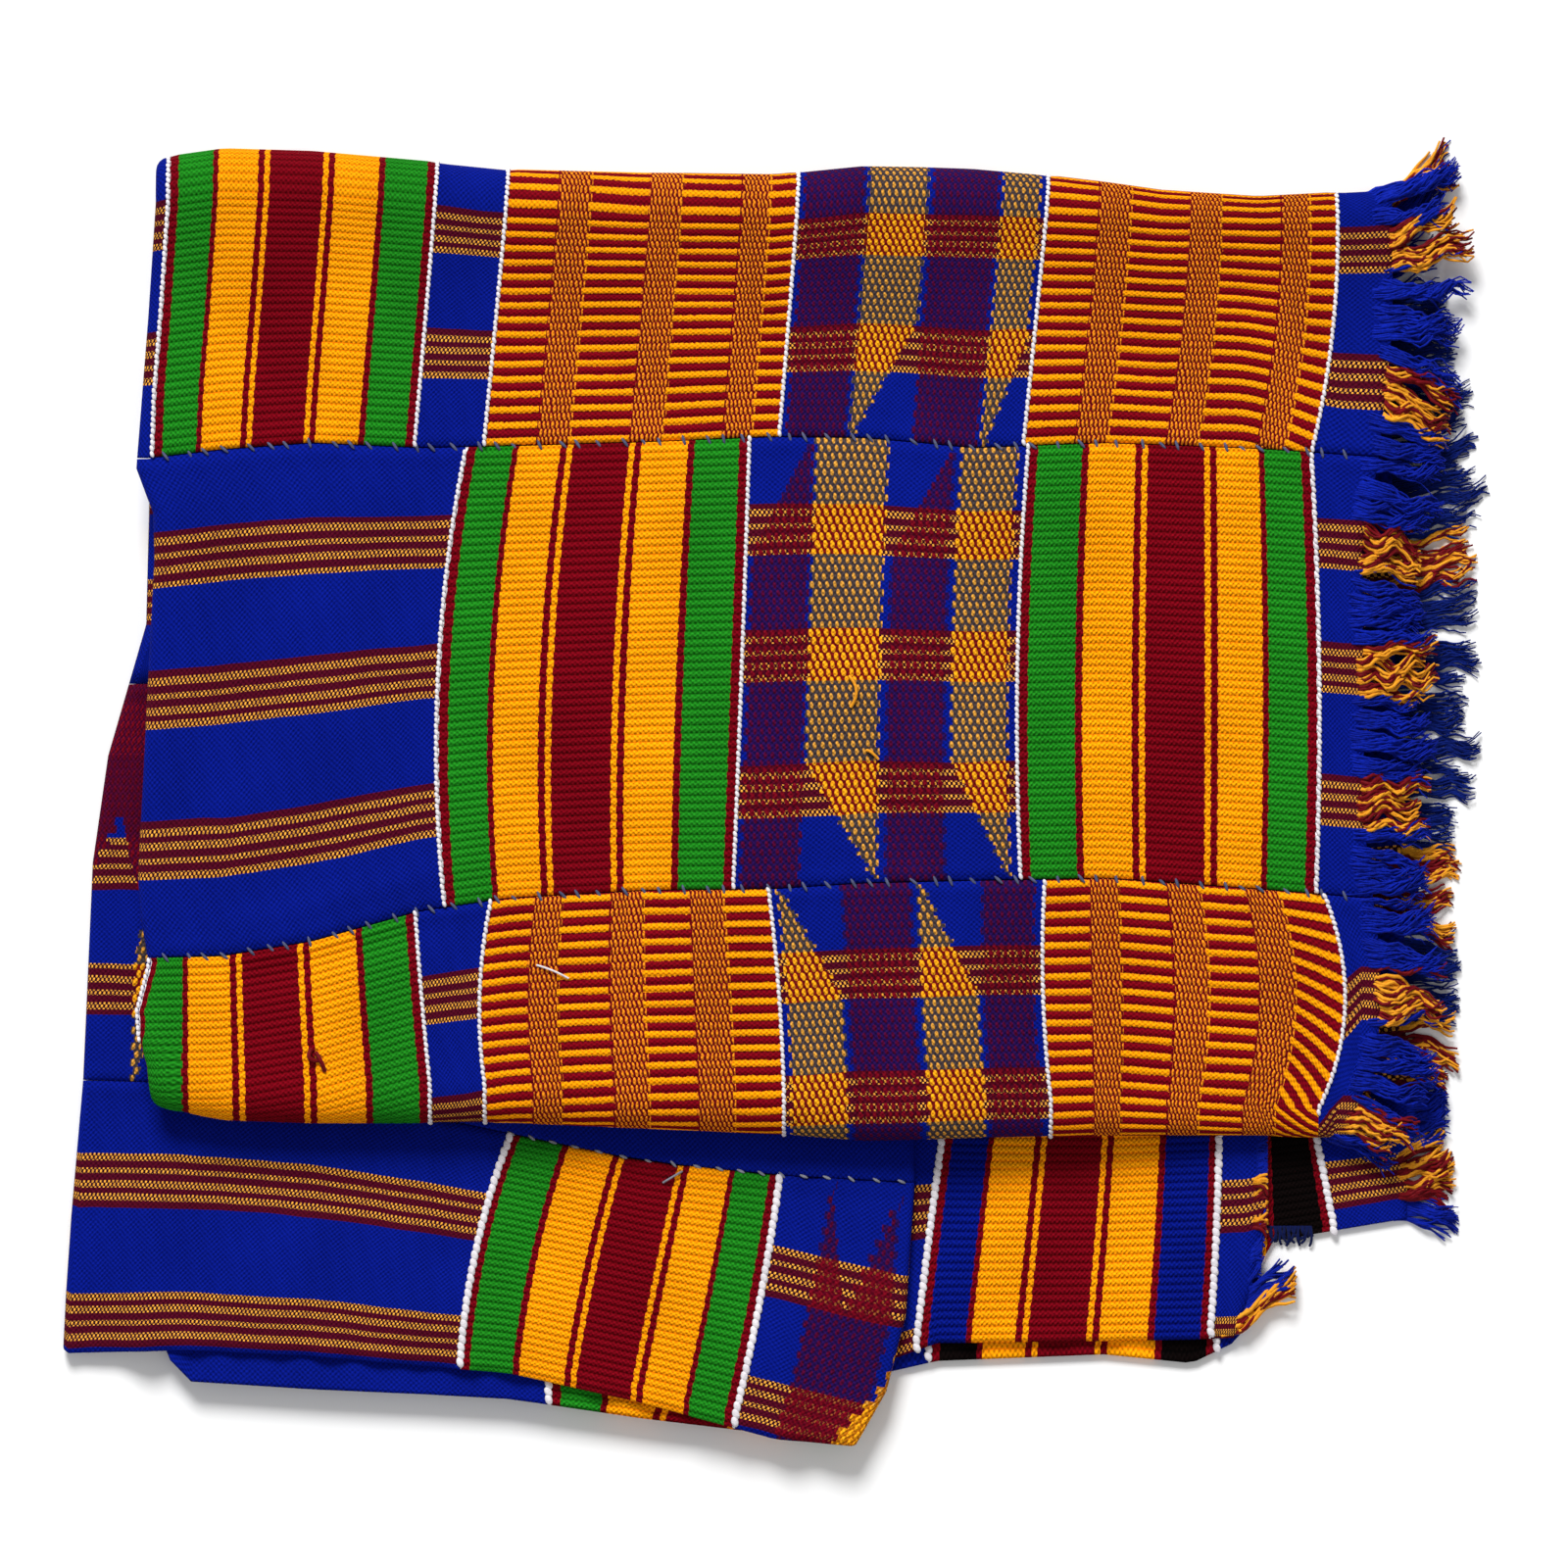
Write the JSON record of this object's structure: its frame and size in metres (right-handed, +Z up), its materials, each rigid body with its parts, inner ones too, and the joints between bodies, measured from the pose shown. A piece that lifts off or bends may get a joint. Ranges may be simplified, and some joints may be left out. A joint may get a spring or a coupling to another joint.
{
  "type": "folded kente cloth",
  "caption": "Strip-woven kente cloth folded into a flat packet, with sewn seams, woven stripe and basket blocks, a flap and fringed ends.",
  "frame": {"origin": "on the surface under the middle of the folded cloth", "axes": "+X along the woven strips towards the fringe, +Y across the strips towards the top fold, +Z up"},
  "size_m": [0.3232, 0.293, 0.0166],
  "materials": {
    "woven_strip": "hand-woven cotton and rayon, blue ground with gold, maroon, green and white weft blocks",
    "fringe_yarn": "loose warp yarn, blue with gold and maroon groups"
  },
  "bodies": {
    "root": {"strip_inner": "woven_strip", "fringe_first_inner": "fringe_yarn", "fringe_second_inner": "fringe_yarn", "strip_lower": "woven_strip", "fringe_first_lower": "fringe_yarn", "fringe_second_lower": "fringe_yarn", "strip_middle": "woven_strip", "fringe_first_middle": "fringe_yarn", "fringe_second_middle": "fringe_yarn", "strip_upper": "woven_strip", "fringe_first_upper": "fringe_yarn", "fringe_second_upper": "fringe_yarn", "strip_back_upper": "woven_strip", "fringe_first_back_upper": "fringe_yarn", "fringe_second_back_upper": "fringe_yarn", "strip_back_lower": "woven_strip", "fringe_first_back_lower": "fringe_yarn", "fringe_second_back_lower": "fringe_yarn", "strip_flap": "woven_strip", "fringe_first_flap": "fringe_yarn", "fringe_second_flap": "fringe_yarn"}
  },
  "joints": []
}
